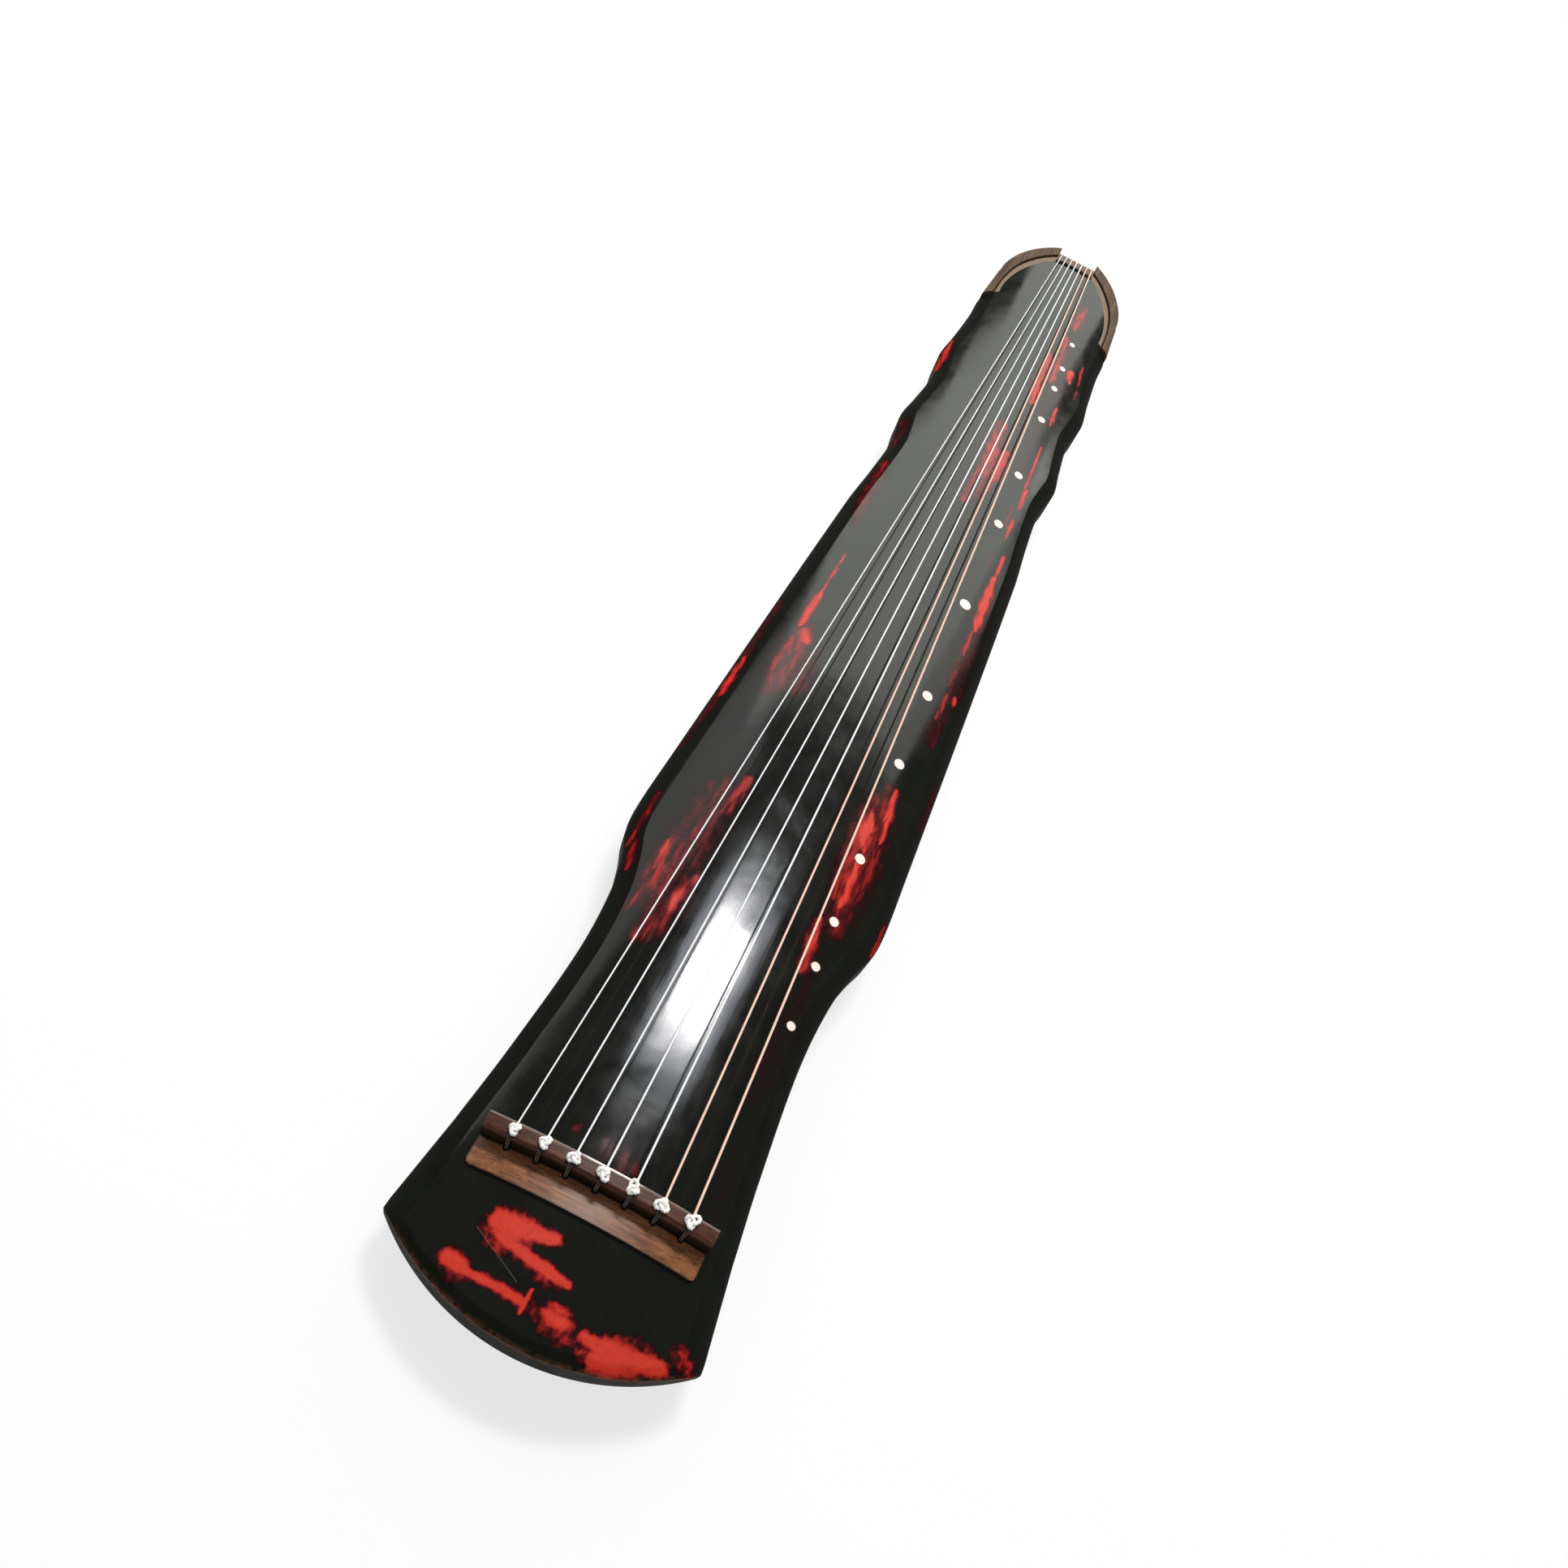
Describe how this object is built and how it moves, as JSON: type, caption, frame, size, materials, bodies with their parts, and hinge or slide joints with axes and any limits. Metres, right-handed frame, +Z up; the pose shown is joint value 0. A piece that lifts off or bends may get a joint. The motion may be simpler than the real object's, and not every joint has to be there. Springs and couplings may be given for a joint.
{
  "type": "guqin",
  "caption": "Long plucked zither: a hollow lacquered board body with silk strings over a bridge, inlaid position studs, sound holes beneath and turning tuning pegs.",
  "frame": {"origin": "centre of the whole instrument's bounding box in plan, on the surface that its four feet stand on", "axes": "+X from the tail towards the head, +Y from the player's side towards the side with the studs, +Z up"},
  "size_m": [1.219, 0.2, 0.0923],
  "materials": {
    "black_lacquer": "black lacquer over wood, polished to a soft gloss, with worn vermilion patches",
    "rosewood": "satin",
    "dark_rosewood": "polished",
    "plain_softwood": "unfinished",
    "shell": "polished shell",
    "silver_silk": "smooth twisted silk",
    "peach_silk": "smooth twisted silk",
    "knot_silk": "twisted silk cord",
    "brown_cord": "twisted silk cord"
  },
  "bodies": {
    "body": {"top_board": "black_lacquer", "bottom_board": "black_lacquer", "cord_hole_strip": "rosewood", "tail_nut": "rosewood", "lower_tail_nut": "rosewood", "tail_trim_stud_side": "rosewood", "tail_trim_player_side": "rosewood", "peg_bearing_plate": "rosewood", "bridge": "dark_rosewood", "goose_foot_stud_side": "dark_rosewood", "goose_foot_player_side": "dark_rosewood", "peg_guard_stud_side": "dark_rosewood", "peg_guard_player_side": "dark_rosewood", "round_sound_post": "plain_softwood", "square_sound_post": "plain_softwood", "peg_cord_1": "brown_cord", "string_knot_1": "knot_silk", "string_1": "peach_silk", "peg_cord_2": "brown_cord", "string_knot_2": "knot_silk", "string_2": "peach_silk", "peg_cord_3": "brown_cord", "string_knot_3": "knot_silk", "string_3": "silver_silk", "peg_cord_4": "brown_cord", "string_knot_4": "knot_silk", "string_4": "silver_silk", "peg_cord_5": "brown_cord", "string_knot_5": "knot_silk", "string_5": "silver_silk", "peg_cord_6": "brown_cord", "string_knot_6": "knot_silk", "string_6": "silver_silk", "peg_cord_7": "brown_cord", "string_knot_7": "knot_silk", "string_7": "silver_silk", "stud_1": "shell", "stud_2": "shell", "stud_3": "shell", "stud_4": "shell", "stud_5": "shell", "stud_6": "shell", "stud_7": "shell", "stud_8": "shell", "stud_9": "shell", "stud_10": "shell", "stud_11": "shell", "stud_12": "shell", "stud_13": "shell"},
    "peg_1": {"tuning_peg_1": "dark_rosewood"},
    "peg_2": {"tuning_peg_2": "dark_rosewood"},
    "peg_3": {"tuning_peg_3": "dark_rosewood"},
    "peg_4": {"tuning_peg_4": "dark_rosewood"},
    "peg_5": {"tuning_peg_5": "dark_rosewood"},
    "peg_6": {"tuning_peg_6": "dark_rosewood"},
    "peg_7": {"tuning_peg_7": "dark_rosewood"}
  },
  "joints": [
    {"name": "peg_1_turn", "type": "hinge", "parent": "body", "child": "peg_1", "pos_m": [0.5244, 0.0552, 0.024], "axis": [0, 0, 1], "continuous": true},
    {"name": "peg_2_turn", "type": "hinge", "parent": "body", "child": "peg_2", "pos_m": [0.5244, 0.0368, 0.024], "axis": [0, 0, 1], "continuous": true},
    {"name": "peg_3_turn", "type": "hinge", "parent": "body", "child": "peg_3", "pos_m": [0.5244, 0.0184, 0.024], "axis": [0, 0, 1], "continuous": true},
    {"name": "peg_4_turn", "type": "hinge", "parent": "body", "child": "peg_4", "pos_m": [0.5244, 0, 0.024], "axis": [0, 0, 1], "continuous": true},
    {"name": "peg_5_turn", "type": "hinge", "parent": "body", "child": "peg_5", "pos_m": [0.5244, -0.0184, 0.024], "axis": [0, 0, 1], "continuous": true},
    {"name": "peg_6_turn", "type": "hinge", "parent": "body", "child": "peg_6", "pos_m": [0.5244, -0.0368, 0.024], "axis": [0, 0, 1], "continuous": true},
    {"name": "peg_7_turn", "type": "hinge", "parent": "body", "child": "peg_7", "pos_m": [0.5244, -0.0552, 0.024], "axis": [0, 0, 1], "continuous": true}
  ]
}
